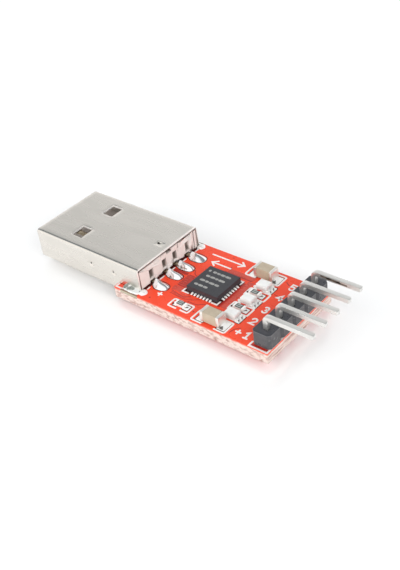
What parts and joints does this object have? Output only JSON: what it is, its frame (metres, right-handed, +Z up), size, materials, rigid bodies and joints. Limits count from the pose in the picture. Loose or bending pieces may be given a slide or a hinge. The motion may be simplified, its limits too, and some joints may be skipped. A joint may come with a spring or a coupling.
{
  "type": "usb to serial adapter module",
  "caption": "Small red circuit board with a USB A plug at one end, a right-angle pin header at the other, and a controller chip, capacitors, lights and resistors between them.",
  "frame": {"origin": "middle of the whole module seen from above, at the level of the lowest pin tails", "axes": "+X from the plug's mouth to the tips of the header pins, +Y across the board, +Z up from the board's component side"},
  "size_m": [0.0458, 0.0138, 0.0066],
  "materials": {
    "plated_steel": "satin nickel plate",
    "gilt_contact": "gilt where it slides, tinned at the foot",
    "cream_plastic": "moulded, satin",
    "red_board": "glossy red solder mask with white lines, over glass-fibre laminate",
    "black_plastic": "moulded, satin",
    "pin_metal": "tin plate",
    "solder": "bright",
    "chip_resin": "fine matt moulding",
    "tan_ceramic": "smooth, satin",
    "end_metal": "tin plate",
    "resistor_glaze": "black glaze",
    "light_base": "white laminate",
    "light_lens": "clear resin over pale phosphor"
  },
  "bodies": {
    "root": {"circuit_board": "red_board", "usb_shell": "plated_steel", "usb_insulator": "cream_plastic", "usb_contact_1": "gilt_contact", "usb_contact_2": "gilt_contact", "usb_contact_3": "gilt_contact", "usb_contact_4": "gilt_contact", "controller_chip": "chip_resin", "near_capacitor_body": "tan_ceramic", "near_capacitor_end_1": "end_metal", "near_capacitor_end_2": "end_metal", "far_capacitor_body": "tan_ceramic", "far_capacitor_end_1": "end_metal", "far_capacitor_end_2": "end_metal", "light_1_base": "light_base", "light_1_lens": "light_lens", "light_1_terminal_1": "end_metal", "light_1_terminal_2": "end_metal", "light_2_base": "light_base", "light_2_lens": "light_lens", "light_2_terminal_1": "end_metal", "light_2_terminal_2": "end_metal", "light_3_base": "light_base", "light_3_lens": "light_lens", "light_3_terminal_1": "end_metal", "light_3_terminal_2": "end_metal", "resistor_1_body": "resistor_glaze", "resistor_1_end_1": "end_metal", "resistor_1_end_2": "end_metal", "resistor_2_body": "resistor_glaze", "resistor_2_end_1": "end_metal", "resistor_2_end_2": "end_metal", "resistor_3_body": "resistor_glaze", "resistor_3_end_1": "end_metal", "resistor_3_end_2": "end_metal", "header_strip": "black_plastic", "header_pin_1": "pin_metal", "header_pin_2": "pin_metal", "header_pin_3": "pin_metal", "header_pin_4": "pin_metal", "header_pin_5": "pin_metal", "contact_solder_1": "solder", "contact_solder_2": "solder", "contact_solder_3": "solder", "contact_solder_4": "solder", "shell_solder_near": "solder", "shell_solder_far": "solder", "pin_solder_1": "solder", "pin_solder_2": "solder", "pin_solder_3": "solder", "pin_solder_4": "solder", "pin_solder_5": "solder"}
  },
  "joints": []
}
